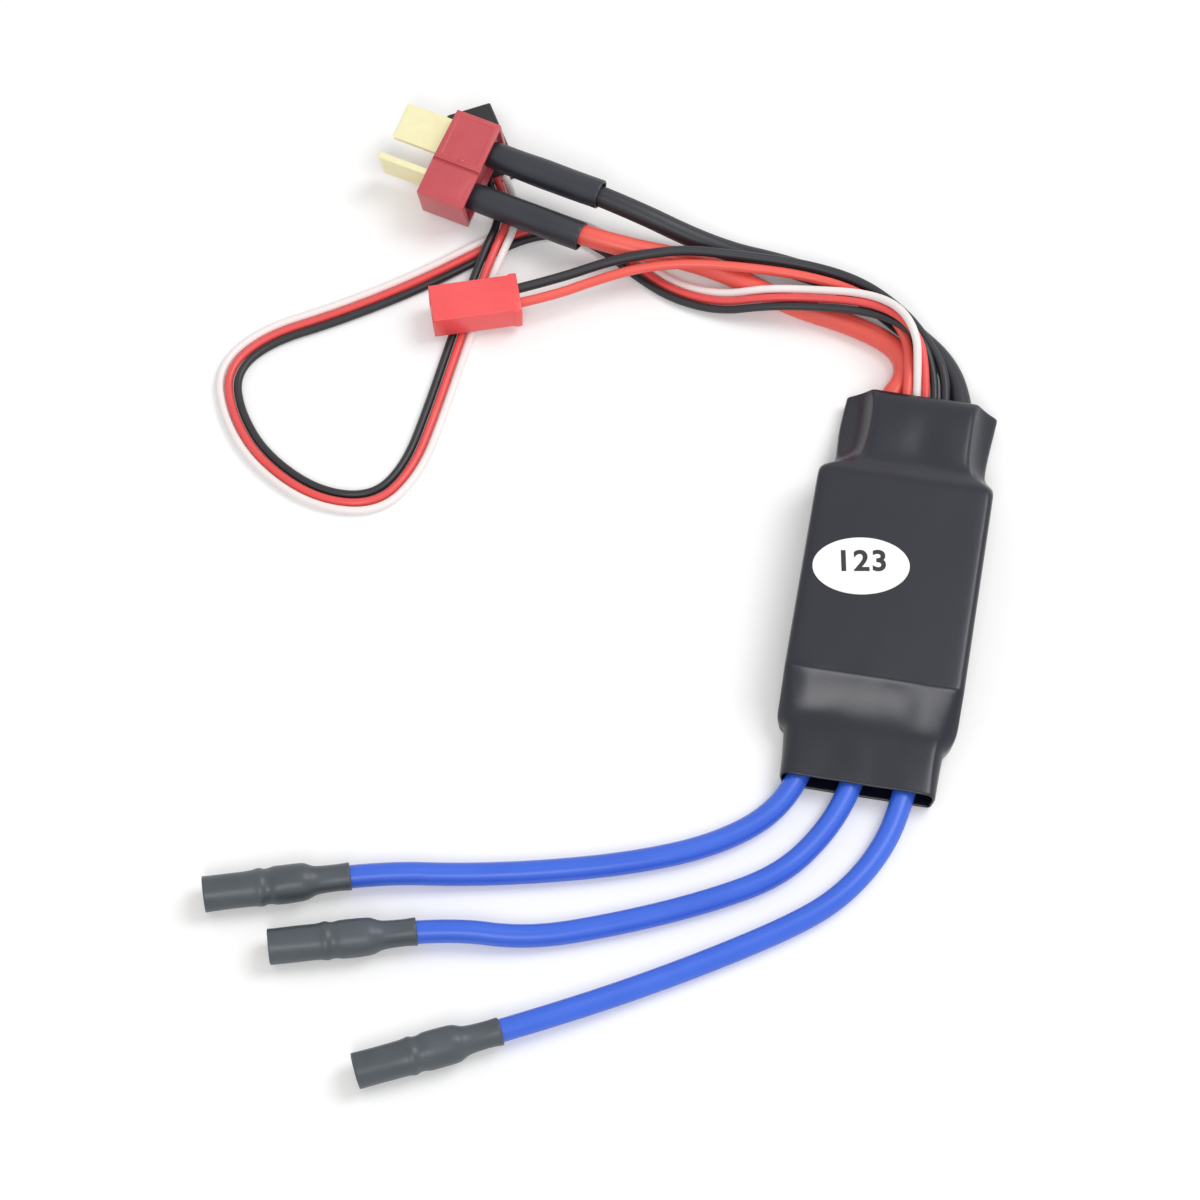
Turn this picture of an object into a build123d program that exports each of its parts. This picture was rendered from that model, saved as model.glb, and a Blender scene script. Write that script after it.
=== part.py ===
"""Brushless motor speed controller with all its leads and connectors, in millimetres.

The body lies on z = 0 with its origin at the bottom centre. +Y points to the battery end,
-Y to the motor end, +Z up through the label. The leads lie on the same surface.
"""

import os
from math import cos, pi, radians, sin, tan

from build123d import *

os.makedirs("parts", exist_ok=True)

# ---------------------------------------------------------------- driving dimensions
body_length = 68.0
body_width = 27.5
body_height = 10.0
jacket_wall = 0.5
neck_width = 23.6
plate_end_motor = -18.0
plate_end_battery = 17.0
capacitor_roof = 8.0

power_wire_diameter = 3.5
strand_diameter = 1.3
strand_pitch = 1.45
receiver_wire_diameter = 1.6

board_width = 24.8
power_board_thickness = 1.1
control_board_thickness = 0.8
control_board_length = 26.0
board_underside = 4.7
control_underside = 2.2
board_motor_end = -22.0
board_battery_end = 18.3

mosfet_height = 1.55
thermal_pad_thickness = 0.6
sink_clearance = 0.05

socket_bore_radius = 1.75
socket_outer_radius = 2.2
socket_length = 15.4
socket_bore_depth = 12.0
sleeve_wall = 0.5
sleeve_clearance = 0.05
sleeve_neck_length = 6.0
sleeve_mouth_lip = 0.6

plug_depth = 8.2
plug_length = 15.8
plug_thickness = 7.8
blade_reach = 8.8
blade_width = 6.4
blade_thickness = 1.0
blade_offset = 3.9
cup_length = 4.45
battery_sleeve_length = 19.0
battery_sleeve_radius = 2.45

servo_plug_length = 14.0
servo_plug_width = 7.6
servo_plug_thickness = 2.5
receiver_plug_length = 14.3
receiver_plug_width = 6.8
receiver_plug_thickness = 4.8

label_length = 14.9
label_width = 9.9
label_thickness = 0.12
label_turn = 10.0

# derived heights of the inner stack
board_top = board_underside + power_board_thickness
control_top = control_underside + control_board_thickness
mosfet_top = board_top + mosfet_height
pad_top = mosfet_top + thermal_pad_thickness
sink_top = body_height - jacket_wall - sink_clearance
half_length = body_length / 2
mouth_height = power_wire_diameter + 2 * jacket_wall + 0.3

# ---------------------------------------------------------------- routes of the leads
motor_wire_routes = {
    "a": [(-8.3, -19, 2.85), (-8.4, -25.8, 2.5), (-8.7, -33.2, 2.4), (-12.4, -40.5, 1.8),
          (-20.4, -46.7, 1.8), (-31.2, -51.3, 1.8), (-43.4, -54.9, 1.8), (-56, -57.7, 1.8),
          (-67.9, -59.9, 3), (-77.9, -63.1, 3)],
    "b": [(-0.4, -19, 2.85), (-0.5, -25.8, 2.5), (-0.7, -33, 2.4), (-3.6, -41.4, 1.8),
          (-9.3, -49.6, 1.8), (-19.5, -55.8, 1.8), (-31.8, -61.5, 1.8), (-44.6, -66.2, 1.8),
          (-56.4, -67, 3), (-66.5, -70, 3)],
    "c": [(7.6, -19, 2.85), (7.5, -25.8, 2.5), (7.2, -33, 2.4), (5.5, -42.2, 1.8),
          (0.3, -51.5, 1.8), (-7.6, -58.4, 1.8), (-24.6, -69.5, 1.8), (-41.6, -79.6, 3),
          (-51, -84.3, 3)],
}

battery_wire_routes = {
    "black": [(7.5, 18.4, 2.85), (7.4, 26.2, 2.5), (7.3, 34.6, 2.4), (3.9, 43.1, 1.8),
              (-3.2, 48.6, 1.8), (-12.5, 54.6, 1.8), (-24, 57.5, 1.8), (-36.5, 58.2, 2.4),
              (-53.64, 61.31, 7.61), (-70.13, 65.42, 7.61)],
    "red": [(-5.3, 18.4, 2.85), (-5.2, 23.1, 2.6), (-5.3, 28.6, 2.45), (-5.2, 34.3, 2.4),
            (-2.9, 39, 1.9), (-3.4, 43, 1.8), (-6.3, 45.9, 1.8), (-13.5, 48.4, 1.8),
            (-23, 50, 1.8), (-37, 55.2, 2.6), (-55.49, 53.91, 5.99), (-71.98, 58.02, 5.99)],
}

receiver_wire_routes = {
    "red": [(-2.1, 14.2, 3.7), (-2, 20.8, 3.5), (-2.1, 27.6, 3.4), (-2, 34.3, 3.8),
            (-2.2, 39.9, 4.8), (-3.5, 45.5, 4.6), (-7.3, 50.2, 4.5), (-13.6, 53.2, 4.5),
            (-21.6, 54.4, 4.5), (-30.8, 53.7, 5.4), (-40.2, 52.7, 5.7), (-47.8, 50.8, 5.2),
            (-54.4, 47.4, 4.8), (-60.6, 43.3, 4.9), (-66.4, 40.6, 5)],
    "black": [(4.4, 14.2, 3.7), (4.3, 20.8, 3.5), (4.4, 27.6, 3.2), (4.3, 34.6, 3.1),
              (3.3, 40.4, 4.6), (-0.5, 45.8, 4.7), (-4.9, 50.5, 4.6), (-12.3, 54.9, 4.6),
              (-21.4, 56.4, 4.7), (-31, 55.6, 5.7), (-40.6, 54.7, 6.6), (-47.2, 52.6, 6.6),
              (-53, 50.8, 5.5), (-60.3, 46.6, 5), (-67.3, 43.1, 5)],
}

# The flat three-strand lead: x, y, z of its middle and the turn of its width about its line.
# At 0 degrees the white strand is on the left of the direction of travel, at 180 on the right.
signal_route = [
    (1.2, 14.2, 3.7, 0), (1.1, 20.8, 3.6, 0), (1.3, 27.6, 3.4, 0), (1.1, 34.2, 3.6, 0),
    (0.3, 39.6, 5.3, 25), (-1.4, 44.3, 7.3, 65), (-5.6, 48, 7.5, 115), (-11.3, 50, 6.2, 155),
    (-19.5, 50.1, 4.9, 170), (-27, 49.3, 4.3, 155), (-34, 48.6, 1.7, 168), (-41.5, 49.9, 0.75, 180),
    (-48, 53.2, 0.7, 180), (-53.5, 57, 0.7, 180), (-60.5, 59.6, 0.7, 180), (-67.5, 57.8, 0.7, 180),
    (-74.3, 52.4, 0.7, 180), (-83.5, 44.4, 0.7, 180), (-95, 36.3, 0.7, 180), (-105.5, 30.2, 0.7, 180),
    (-110.2, 22.9, 0.7, 180), (-107.5, 15, 0.7, 180), (-101.5, 7.6, 0.7, 180), (-91.5, 2.2, 0.7, 180),
    (-81.6, 2.7, 0.7, 180), (-77.1, 10.2, 0.7, 180), (-75.6, 21.5, 0.7, 180), (-74.3, 35.5, 0.7, 180),
    (-73.2, 45, 0.8, 180), (-71.9, 51.8, 2.5, 180), (-70.8, 56.9, 2.5, 180), (-71.7, 61.9, 1.3, 180),
    (-74.2, 66.2, 1.3, 180),
]
strand_offsets = {"white": strand_pitch, "red": 0.0, "black": -strand_pitch}

# Battery plug: its middle, and the way its blades point, turned in the plane and rolled.
plug_centre = Vector(-79.4, 63.8, 6.8)
plug_yaw = 14.0
plug_roll = 12.0
receiver_plug_heading = Vector(-0.944, -0.329, 0)


def save(part, name):
    """Label a finished piece and write it."""
    part.label = name
    export_step(part, f"parts/{name}.step")


# ---------------------------------------------------------------- helpers for the leads
def bend_radii(points):
    """One bend radius for each inner point: as large as its two runs allow."""
    corners = [Vector(*p) for p in points]
    radii = []
    for before, corner, after in zip(corners, corners[1:], corners[2:]):
        come, leave = corner - before, after - corner
        turn = radians(come.get_angle(leave))
        radii.append(0.45 * min(come.length, leave.length) / tan(turn / 2))
    return radii


def lead(points, diameter, name):
    """A round wire along straight runs joined by tangent arcs."""
    radii = bend_radii(points)
    with BuildPart() as wire:
        with BuildLine() as path:
            FilletPolyline(*points, radius=radii)
        start = path.wires()[0]
        with BuildSketch(Plane(origin=start @ 0, z_dir=start % 0)):
            Circle(diameter / 2)
        sweep()
    expected = pi * (diameter / 2) ** 2 * start.length
    tightest = [round(r / diameter, 1) for r in sorted(radii)[:3]]
    print(f"{name}: length {start.length:.1f}, volume ratio {wire.part.volume / expected:.4f}, "
          f"radii {[round(r, 1) for r in radii]}, tightest in diameters {tightest}")
    save(wire.part, name)


def strand_points(offset):
    """The points of one strand, set off across the flat lead."""
    middles = [Vector(x, y, z) for x, y, z, turn in signal_route]
    points = []
    for i, (x, y, z, turn) in enumerate(signal_route):
        come = (middles[i] - middles[max(i - 1, 0)]) if i else (middles[1] - middles[0])
        leave = (middles[min(i + 1, len(middles) - 1)] - middles[i]) if i + 1 < len(middles) else come
        come, leave = Vector(come.X, come.Y, 0).normalized(), Vector(leave.X, leave.Y, 0).normalized()
        along = (come + leave).normalized()
        left = Vector(-along.Y, along.X, 0)
        miter = 1 / max(along.dot(come), 0.5)
        across = left * (cos(radians(turn)) * miter) + Vector(0, 0, sin(radians(turn)))
        point = middles[i] + across * offset
        points.append((point.X, point.Y, point.Z))
    return points


# ---------------------------------------------------------------- heat-shrink jacket
def jacket_stations(inset):
    """Section sizes along the body: y, width, floor, roof. The inset makes the inner skin."""
    sections = [
        (-half_length, neck_width, mouth_height),
        (-half_length + 7.5, neck_width + 0.6, mouth_height + 0.8),
        (-half_length + 9.0, body_width, mouth_height + 1.8),
        (plate_end_motor, body_width, body_height),
        (plate_end_battery, body_width, body_height),
        (plate_end_battery + 2.5, body_width - 0.8, capacitor_roof + 0.6),
        (plate_end_battery + 4.5, neck_width, capacitor_roof),
        (half_length - 3.0, neck_width, capacitor_roof),
        (half_length, neck_width, capacitor_roof - 0.8),
    ]
    return [(y, width - 2 * inset, inset, roof - inset) for y, width, roof in sections]


def jacket_skin(inset, corner):
    """A closed solid through the stations."""
    with BuildPart() as skin:
        for y, width, floor, roof in jacket_stations(inset):
            plane = Plane(origin=(0, y, (floor + roof) / 2), x_dir=(1, 0, 0), z_dir=(0, 1, 0))
            with BuildSketch(plane):
                RectangleRounded(width, roof - floor, corner)
        loft(ruled=True)
    return skin.part


jacket_outer = jacket_skin(0, 1.3)
jacket_inner = jacket_skin(jacket_wall, 0.8)
with BuildPart() as heat_shrink_jacket:
    add(jacket_outer)
    add(jacket_inner, mode=Mode.SUBTRACT)
save(heat_shrink_jacket.part, "heat_shrink_jacket")

with BuildPart() as rating_label:
    with BuildSketch(Plane(origin=(-4.7, 0.1, body_height))):
        Ellipse(label_length / 2, label_width / 2, rotation=label_turn)
    extrude(amount=label_thickness)
save(rating_label.part, "rating_label")

# ---------------------------------------------------------------- boards and what they carry
plate_middle = (plate_end_motor + plate_end_battery) / 2
plate_length = plate_end_battery - plate_end_motor - 2.0
board_middle = (board_motor_end + board_battery_end) / 2

with BuildPart() as heat_sink:
    with BuildSketch(Plane.XY.offset(pad_top)):
        with Locations((0, plate_middle)):
            RectangleRounded(board_width - 0.4, plate_length, 1.0)
    extrude(amount=sink_top - pad_top)
save(heat_sink.part, "heat_sink")

with BuildPart() as thermal_pad:
    with BuildSketch(Plane.XY.offset(mosfet_top)):
        with Locations((0, plate_middle)):
            Rectangle(board_width - 2.0, plate_length - 4.0)
    extrude(amount=thermal_pad_thickness)
save(thermal_pad.part, "thermal_pad")

with BuildPart() as power_board:
    with BuildSketch(Plane.XY.offset(board_underside)):
        with Locations((0, board_middle)):
            RectangleRounded(board_width, board_battery_end - board_motor_end, 1.0)
        with GridLocations(board_width - 3.0, 30.0, 2, 2):
            Circle(0.6, mode=Mode.SUBTRACT)
    extrude(amount=power_board_thickness)
save(power_board.part, "power_board")

with BuildPart() as control_board:
    with BuildSketch(Plane.XY.offset(control_underside)):
        RectangleRounded(board_width - 1.8, control_board_length, 0.8)
    extrude(amount=control_board_thickness)
save(control_board.part, "control_board")

with BuildPart() as board_header:
    with BuildSketch(Plane.XY.offset(control_top)):
        with Locations((-board_width / 2 + 2.6, 0)):
            Rectangle(2.5, 20.3)
            with GridLocations(2.5, 2.54, 2, 7):
                Rectangle(0.5, 0.5, rotation=45, mode=Mode.SUBTRACT)
    extrude(amount=board_underside - control_top)
save(board_header.part, "board_header")

with BuildPart() as phase_mosfets:
    with BuildSketch(Plane.XY.offset(board_top)):
        with Locations((0, plate_middle)):
            with GridLocations(7.6, 6.9, 3, 4):
                Rectangle(5.0, 4.9)
    extrude(amount=mosfet_height)
    with BuildSketch(Plane.XY.offset(board_top)):
        with Locations((0, plate_middle)):
            with GridLocations(7.6, 6.9, 3, 4):
                with GridLocations(1.27, 0, 4, 1):
                    Rectangle(0.45, 6.2)
    extrude(amount=0.25)
save(phase_mosfets.part, "phase_mosfets")

with BuildPart() as microcontroller:
    with BuildSketch(Plane.XY.offset(control_underside)):
        with Locations((3.0, -4.0)):
            Rectangle(7.0, 7.0)
    extrude(amount=-1.0)
    chamfer(microcontroller.faces().sort_by(Axis.Z)[0].edges(), 0.15)
save(microcontroller.part, "microcontroller")

with BuildPart() as voltage_regulators:
    with BuildSketch(Plane.XY.offset(control_underside)):
        with Locations((-6.6, -5.0), (-6.6, 4.4)):
            Rectangle(6.4, 6.2)
    extrude(amount=-1.6)
    with BuildSketch(Plane.XY.offset(control_underside)):
        with Locations((-6.6, -5.0), (-6.6, 4.4)):
            with GridLocations(4.6, 0, 2, 1):
                with Locations((0, 3.7)):
                    Rectangle(0.8, 1.4)
    extrude(amount=-0.5)
save(voltage_regulators.part, "voltage_regulators")

with BuildPart() as ceramic_capacitors:
    with BuildSketch(Plane.XY.offset(control_underside)):
        with Locations((5.0, 6.5)):
            with GridLocations(3.2, 2.8, 3, 3):
                Rectangle(2.0, 1.25)
    extrude(amount=-0.9)
save(ceramic_capacitors.part, "ceramic_capacitors")

# The bricks lie on the battery wires under the raised part of the shrink.
capacitor_floor = jacket_wall + power_wire_diameter + 0.45
with BuildPart() as input_capacitors:
    with BuildSketch(Plane.XY.offset(capacitor_floor)):
        with Locations((1.2, 26.0)):
            with GridLocations(7.7, 4.8, 2, 2):
                Rectangle(7.3, 4.3)
    extrude(amount=2.8)
    fillet(input_capacitors.faces().group_by(Axis.Z)[-1].edges(), 0.3)
save(input_capacitors.part, "input_capacitors")


def solder_block(x, y_wire, y_inner, width, floor, roof):
    """A tinned conductor in solder between a wire's end and its board."""
    with BuildPart() as block:
        with BuildSketch(Plane.XY.offset(floor)):
            with Locations((x, (y_wire + y_inner) / 2)):
                RectangleRounded(width, abs(y_wire - y_inner), 0.3)
        extrude(amount=roof - floor)
    return block.part


power_joint_length = 3.2
with BuildPart() as power_solder_joints:
    for route in [*motor_wire_routes.values(), *battery_wire_routes.values()]:
        x, y, z = route[0]
        inward = 1 if y < 0 else -1
        face = y + 0.05 * inward
        inner = face + power_joint_length * inward
        add(solder_block(x, face, inner, power_wire_diameter - 0.5, z - 0.9, board_underside))
save(power_solder_joints.part, "power_solder_joints")

strand_routes = {colour: strand_points(offset) for colour, offset in strand_offsets.items()}
with BuildPart() as signal_solder_joints:
    for route in [*receiver_wire_routes.values(), *strand_routes.values()]:
        x, y, z = route[0]
        add(solder_block(x, y, y - 2.0, 1.0, control_top, z + 0.6))
save(signal_solder_joints.part, "signal_solder_joints")

# ---------------------------------------------------------------- motor leads
sleeve_inner_radius = socket_outer_radius + sleeve_clearance
sleeve_radius = sleeve_inner_radius + sleeve_wall
neck_inner_radius = power_wire_diameter / 2 + sleeve_clearance
neck_radius = neck_inner_radius + 0.25
sleeve_end = socket_length + sleeve_mouth_lip


def end_plane(points):
    """A plane at a lead's end, facing the way the lead runs."""
    before, end = Vector(*points[-2]), Vector(*points[-1])
    return Plane(origin=end, x_dir=(0, 0, 1), z_dir=end - before)


def turned(plane, outline, name):
    """A solid turned about a plane's normal from (radius, distance) corners."""
    with BuildPart() as body:
        with BuildSketch(Plane(origin=plane.origin, x_dir=plane.x_dir, z_dir=plane.y_dir * -1)):
            with BuildLine():
                Polyline(*outline, close=True)
            make_face()
        revolve(axis=Axis(plane.origin, plane.z_dir))
    save(body.part, name)


for phase, route in motor_wire_routes.items():
    lead(route, power_wire_diameter, f"motor_wire_{phase}")
    seat = end_plane(route)
    turned(seat, [(0, 0), (socket_outer_radius, 0), (socket_outer_radius, socket_length),
                  (socket_bore_radius, socket_length),
                  (socket_bore_radius, socket_length - socket_bore_depth),
                  (0, socket_length - socket_bore_depth)], f"bullet_socket_{phase}")
    ring = sleeve_radius + 0.2
    turned(seat, [(neck_inner_radius, -sleeve_neck_length), (neck_radius, -sleeve_neck_length),
                  (neck_radius, -0.6), (ring, 0.8), (ring, 5.4), (sleeve_radius, 5.8),
                  (sleeve_radius, 6.8), (ring, 7.1), (ring, 7.8), (sleeve_radius, 8.4),
                  (sleeve_radius, sleeve_end), (sleeve_inner_radius, sleeve_end),
                  (sleeve_inner_radius, 0), (neck_inner_radius, 0)], f"bullet_sleeve_{phase}")

# ---------------------------------------------------------------- battery leads and plug
for colour, route in battery_wire_routes.items():
    lead(route, power_wire_diameter, f"battery_wire_{colour}")

yaw, roll = radians(plug_yaw), radians(plug_roll)
plug_front = Vector(-cos(yaw), sin(yaw), 0)
plug_long = Vector(sin(yaw) * cos(roll), cos(yaw) * cos(roll), sin(roll))
plug_plane = Plane(origin=plug_centre, x_dir=plug_long, z_dir=plug_front)

with BuildPart(plug_plane) as shell_block:
    Box(plug_length, plug_thickness, plug_depth)
    chamfer(shell_block.edges().filter_by(Axis(plug_centre, plug_front)), 0.9)
    with BuildSketch(plug_plane.offset(plug_depth / 2 - 5.2)):
        with Locations((-1.4, plug_thickness / 2), (-1.4, -plug_thickness / 2)):
            Rectangle(0.5, 0.8)
    extrude(amount=plug_depth, mode=Mode.SUBTRACT)
    with BuildSketch(plug_plane.offset(-plug_depth / 2)):
        with Locations((0, plug_thickness / 2), (0, -plug_thickness / 2)):
            Rectangle(plug_length - 5.0, 1.0)
    extrude(amount=1.8, mode=Mode.SUBTRACT)


def blade(side, flat):
    """One contact: a blade in front, a round solder cup behind, on the plug's own frame."""
    size = (blade_width, blade_thickness) if flat else (blade_thickness, blade_width)
    with BuildPart() as contact:
        with BuildSketch(plug_plane.offset(-plug_depth / 2 + 2.0)):
            with Locations((side * blade_offset, 0)):
                Rectangle(*size)
        extrude(amount=plug_depth - 2.0 + blade_reach)
        with BuildSketch(plug_plane.offset(-plug_depth / 2 - cup_length)):
            with Locations((side * blade_offset, 0)):
                Circle(1.6)
        extrude(amount=cup_length + 2.0)
        tip = contact.faces().sort_by(Axis(plug_centre, plug_front))[-1]
        chamfer(tip.edges(), 0.3)
    return contact.part


blade_flat = blade(1, True)
blade_upright = blade(-1, False)
slot_clearance = 0.04
with BuildPart() as tee_plug_housing:
    add(shell_block.part)
    for side, size in ((1, (blade_width, blade_thickness)), (-1, (blade_thickness, blade_width))):
        with BuildSketch(plug_plane.offset(-plug_depth / 2 + 2.0 - slot_clearance)):
            with Locations((side * blade_offset, 0)):
                Rectangle(size[0] + 2 * slot_clearance, size[1] + 2 * slot_clearance)
        extrude(amount=plug_depth, mode=Mode.SUBTRACT)
        with BuildSketch(plug_plane.offset(-plug_depth / 2)):
            with Locations((side * blade_offset, 0)):
                Circle(1.6 + slot_clearance)
        extrude(amount=2.0 + slot_clearance, mode=Mode.SUBTRACT)
save(tee_plug_housing.part, "tee_plug_housing")
save(blade_flat, "tee_plug_blade_flat")
save(blade_upright, "tee_plug_blade_upright")

for colour, side in (("black", 1), ("red", -1)):
    with BuildPart() as battery_sleeve:
        with BuildSketch(plug_plane.offset(-plug_depth / 2 - battery_sleeve_length)):
            with Locations((side * blade_offset, 0)):
                Circle(battery_sleeve_radius)
                Circle(neck_inner_radius, mode=Mode.SUBTRACT)
        extrude(amount=battery_sleeve_length)
    save(battery_sleeve.part, f"battery_sleeve_{colour}")

# ---------------------------------------------------------------- signal lead and its plug
for colour, route in strand_routes.items():
    lead(route, strand_diameter, f"signal_strand_{colour}")


def connector(plane, size, pitch, ways, cell, name):
    """A crimp housing behind a plane, with its cavities, and the terminals inside them."""
    width, thickness, length = size
    cell_width, cell_height, setback = cell
    with BuildPart(plane) as housing:
        with BuildSketch(plane):
            Rectangle(width, thickness)
        extrude(amount=length)
        chamfer(housing.edges().filter_by(Axis(plane.origin, plane.z_dir)), 0.25)
        with BuildSketch(plane):
            with GridLocations(pitch, 0, ways, 1):
                Rectangle(cell_width, cell_height)
        extrude(amount=length - 1.2, mode=Mode.SUBTRACT)
        with BuildSketch(plane.offset(length - 1.2)):
            with GridLocations(pitch, 0, ways, 1):
                Rectangle(0.8, 0.8)
        extrude(amount=1.2, mode=Mode.SUBTRACT)
        with BuildSketch(plane.offset(length * 0.45)):
            with Locations((0, thickness / 2)):
                with GridLocations(pitch, 0, ways, 1):
                    Rectangle(cell_width * 0.6, thickness)
        extrude(amount=2.4, mode=Mode.SUBTRACT)
    with BuildPart(plane) as terminals:
        with BuildSketch(plane.offset(setback)):
            with GridLocations(pitch, 0, ways, 1):
                Rectangle(cell_width - 0.1, cell_height - 0.1)
        extrude(amount=length - 1.4 - setback)
        with BuildSketch(plane.offset(length * 0.5)):
            with GridLocations(pitch, 0, ways, 1):
                Rectangle(0.7, 0.7)
        extrude(amount=length, mode=Mode.SUBTRACT)
    save(terminals.part, f"{name}_terminals")
    return housing.part


signal_end = Vector(*signal_route[-1][:3])
signal_heading = (signal_end - Vector(*signal_route[-2][:3])).normalized()
signal_across = Vector(0, 0, 1).cross(signal_heading)
signal_plane = Plane(origin=signal_end, x_dir=signal_across, z_dir=signal_heading)
signal_size = (servo_plug_width, servo_plug_thickness, servo_plug_length)
signal_housing = connector(signal_plane, signal_size, 2.54, 3, (1.9, 1.5, 0.05), "signal_plug")
save(signal_housing, "signal_plug_housing")

# ---------------------------------------------------------------- receiver supply lead and its plug
for colour, route in receiver_wire_routes.items():
    lead(route, receiver_wire_diameter, f"supply_wire_{colour}")

supply_red, supply_black = (Vector(*receiver_wire_routes[c][-1]) for c in ("red", "black"))
supply_across = Vector(-receiver_plug_heading.Y, receiver_plug_heading.X, 0).normalized()
supply_middle = (supply_red + supply_black) * 0.5 - receiver_plug_heading * 1.0
supply_plane = Plane(origin=(supply_middle.X, supply_middle.Y, 4.05),
                     x_dir=supply_across, z_dir=receiver_plug_heading)
supply_size = (receiver_plug_width, receiver_plug_thickness, receiver_plug_length)
supply_block = connector(supply_plane, supply_size, 2.65, 2, (2.1, 3.9, 1.1), "supply_plug")
with BuildPart() as supply_plug_housing:
    add(supply_block)
    with BuildSketch(supply_plane):
        with GridLocations(receiver_plug_width + 0.7, 0, 2, 1):
            Rectangle(0.7, receiver_plug_thickness - 1.6)
    extrude(amount=1.4)
save(supply_plug_housing.part, "supply_plug_housing")
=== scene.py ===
# %% [markdown]
# # A motor speed controller with all its leads
# The controller is a small stack of boards in black heat-shrink, with three motor leads at one
# end, and two battery leads, an accessory lead and a flat signal lead at the other.
# The engineering model fixes every size and place. This file gives it its looks: the shrink, the
# sleeves and the plugs are modelled here, the leads are smooth curves, and every part gets a finish.

# %% Load the frame
from math import atan2, cos, exp, pi, radians, sin

import bmesh
import bpy
from mathutils import Matrix, Vector, noise


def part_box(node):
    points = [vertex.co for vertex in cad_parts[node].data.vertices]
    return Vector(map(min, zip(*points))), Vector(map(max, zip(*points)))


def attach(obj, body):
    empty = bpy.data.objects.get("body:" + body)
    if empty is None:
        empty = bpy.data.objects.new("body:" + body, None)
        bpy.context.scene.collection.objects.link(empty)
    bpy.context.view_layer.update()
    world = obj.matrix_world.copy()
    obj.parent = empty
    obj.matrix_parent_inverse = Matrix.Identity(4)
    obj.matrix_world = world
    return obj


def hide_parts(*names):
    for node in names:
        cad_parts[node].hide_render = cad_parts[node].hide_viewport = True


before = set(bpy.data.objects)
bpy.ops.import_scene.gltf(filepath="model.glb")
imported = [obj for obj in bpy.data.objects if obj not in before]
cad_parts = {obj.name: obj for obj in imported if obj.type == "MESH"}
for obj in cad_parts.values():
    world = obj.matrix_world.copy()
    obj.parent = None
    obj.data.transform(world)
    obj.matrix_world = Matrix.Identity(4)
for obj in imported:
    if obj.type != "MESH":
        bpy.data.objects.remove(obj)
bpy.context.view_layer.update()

MM = 0.001
print("pieces in the frame:", len(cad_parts))


# %% [markdown]
# ## Helpers for the hands
# Every operator acts on whatever is selected, so each step starts from an empty selection.

# %% Selecting
def only(piece):
    """Select one piece and nothing else."""
    if bpy.context.mode != "OBJECT":
        bpy.ops.object.mode_set(mode="OBJECT")
    bpy.ops.object.select_all(action="DESELECT")
    if piece is not None:
        piece.select_set(True)
        bpy.context.view_layer.objects.active = piece
    return piece


def apply_modifiers(piece):
    """Apply a piece's modifiers in their order, and smooth it."""
    only(piece)
    for modifier in list(piece.modifiers):
        bpy.ops.object.modifier_apply(modifier=modifier.name)
    bpy.ops.object.shade_smooth()
    print(piece.name, "has", len(piece.data.polygons), "faces")


def settle(piece):
    """Put a piece's place into its mesh, so that its object stands at the origin."""
    only(piece)
    bpy.ops.object.transform_apply(location=True, rotation=True, scale=True)


def belongs(piece, slot, material, *nodes):
    """A finished piece: it rides on the body, stands for its nodes and takes its finish."""
    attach(piece, "root")
    if nodes:
        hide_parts(*nodes)
    piece.data.materials.clear()
    piece.data.materials.append(material)


# %% [markdown]
# ## Camera, floor and light
# The camera stands high over the motor end and a little to the right, far back with a long lens,
# so that the body keeps its true shape. One wide soft lamp and an even sky light the part plainly.
# The floor is pale and the sky is white only where the camera or a reflection sees it.

# %% Camera
view_azimuth = radians(10)
view_elevation = radians(62)
camera_distance = 0.600
look_at = Vector((-0.0440, -0.0074, 0))
towards_camera = Vector((
    sin(view_azimuth) * cos(view_elevation),
    -cos(view_azimuth) * cos(view_elevation),
    sin(view_elevation),
))
camera = bpy.data.objects.new("camera", bpy.data.cameras.new("camera"))
bpy.context.scene.collection.objects.link(camera)
camera.location = look_at + towards_camera * camera_distance
camera.rotation_euler = towards_camera.to_track_quat("Z", "Y").to_euler()
camera.data.lens = 115.8
camera.data.sensor_width = 36.0
bpy.context.scene.camera = camera
bpy.context.scene.view_settings.view_transform = "Standard"
print("camera at", [round(c, 3) for c in camera.location])


# %% Nodes in a few words
def node(tree, kind, inputs=None, **settings):
    """Add a node, set it up and plug in values or other nodes' outputs."""
    made = tree.nodes.new(kind)
    for key, value in settings.items():
        setattr(made, key, value)
    for key, value in (inputs or {}).items():
        if isinstance(value, bpy.types.NodeSocket):
            tree.links.new(value, made.inputs[key])
        else:
            made.inputs[key].default_value = value
    return made


def seen_directly(tree):
    """1 where the camera, a gloss or a clear material looks, 0 for diffuse light."""
    path = node(tree, "ShaderNodeLightPath")
    either = node(tree, "ShaderNodeMath", {0: path.outputs["Is Camera Ray"],
                                           1: path.outputs["Is Glossy Ray"]}, operation="MAXIMUM")
    every = node(tree, "ShaderNodeMath", {0: either.outputs[0],
                                          1: path.outputs["Is Transmission Ray"]}, operation="MAXIMUM")
    return every.outputs[0]


# %% Sky and lamp
sky_level = 0.60
world = bpy.data.worlds.new("sky")
bpy.context.scene.world = world
world.use_nodes = True
world.node_tree.nodes.clear()
even_sky = node(world.node_tree, "ShaderNodeBackground", {"Color": (1, 1, 1, 1), "Strength": sky_level})
white_sky = node(world.node_tree, "ShaderNodeBackground", {"Color": (1, 1, 1, 1), "Strength": 1.0})
sky_mix = node(world.node_tree, "ShaderNodeMixShader", {
    0: seen_directly(world.node_tree), 1: even_sky.outputs[0], 2: white_sky.outputs[0]})
node(world.node_tree, "ShaderNodeOutputWorld", {"Surface": sky_mix.outputs[0]})

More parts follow.
